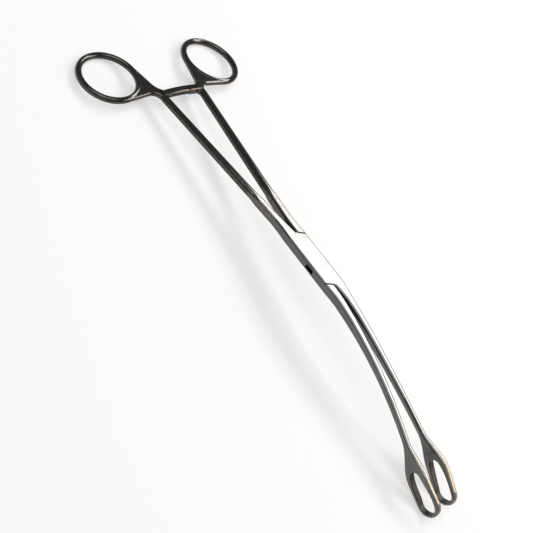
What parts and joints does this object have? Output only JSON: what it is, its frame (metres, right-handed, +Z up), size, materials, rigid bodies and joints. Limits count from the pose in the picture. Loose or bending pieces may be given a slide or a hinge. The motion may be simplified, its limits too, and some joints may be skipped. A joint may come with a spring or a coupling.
{
  "type": "ring-handled box-lock grasping forceps",
  "caption": "Long ring-handled grasping forceps with a box lock, a finger ratchet, downward-curved shanks and open oval loop jaws.",
  "frame": {"origin": "middle of the bounding box, on the plane that the finger rings and the jaw tips rest on", "axes": "+Y from the finger rings to the jaw tips, +Z up away from the resting plane, +X to the handle of the box half"},
  "size_m": [0.0898, 0.2422, 0.0228],
  "materials": {
    "box_half_steel": "polished stainless steel",
    "insert_half_steel": "polished stainless steel",
    "pin_steel": "polished stainless steel, ground flush with the lock"
  },
  "bodies": {
    "box_side": {"box_half": "box_half_steel", "pivot_pin": "pin_steel"},
    "insert_side": {"insert_half": "insert_half_steel"}
  },
  "joints": [
    {"name": "lock_pivot", "type": "hinge", "parent": "box_side", "child": "insert_side", "pos_m": [0, 0.00775, 0.01862], "axis": [0, 0.1242, -0.9923], "range_deg": [0, 40]}
  ]
}
